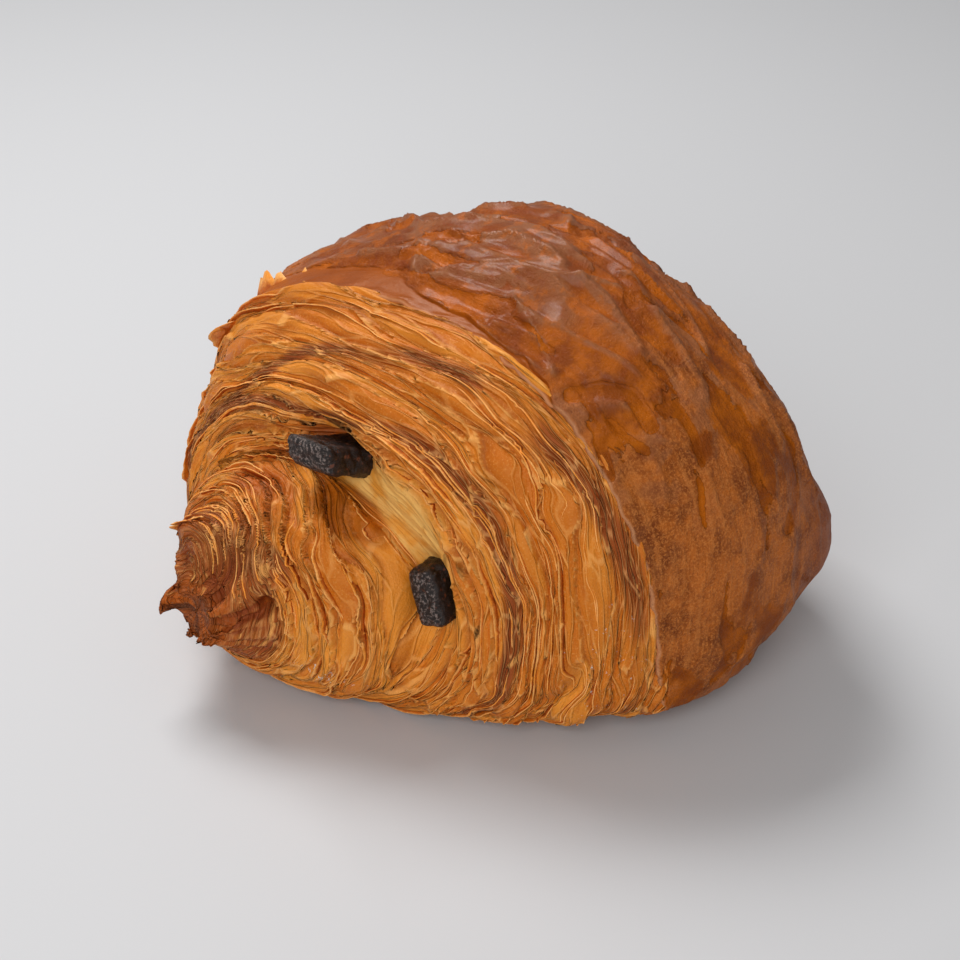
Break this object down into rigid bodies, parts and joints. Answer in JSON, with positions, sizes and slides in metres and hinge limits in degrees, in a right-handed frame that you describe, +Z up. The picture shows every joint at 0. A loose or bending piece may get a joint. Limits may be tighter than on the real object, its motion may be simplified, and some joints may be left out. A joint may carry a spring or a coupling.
{
  "type": "pain au chocolat",
  "caption": "Rolled laminated pastry baked round chocolate batons, with a pulled-out coiled end and a flat base to rest on.",
  "frame": {"origin": "centre of the footprint box, at the height of the flat base", "axes": "+Z up; +X along the roll from the pulled-out nose of the inner coil towards the tail; +Y across the roll"},
  "size_m": [0.101, 0.1012, 0.0706],
  "materials": {
    "baked_crust": "egg-washed and baked laminated dough: glossy caramel crust over matt golden layered ends",
    "dark_chocolate": "dark baking chocolate, satin, slightly pitted by the oven"
  },
  "bodies": {
    "root": {"baked_pastry": "baked_crust", "upper_chocolate_baton": "dark_chocolate", "lower_chocolate_baton": "dark_chocolate"}
  },
  "joints": []
}
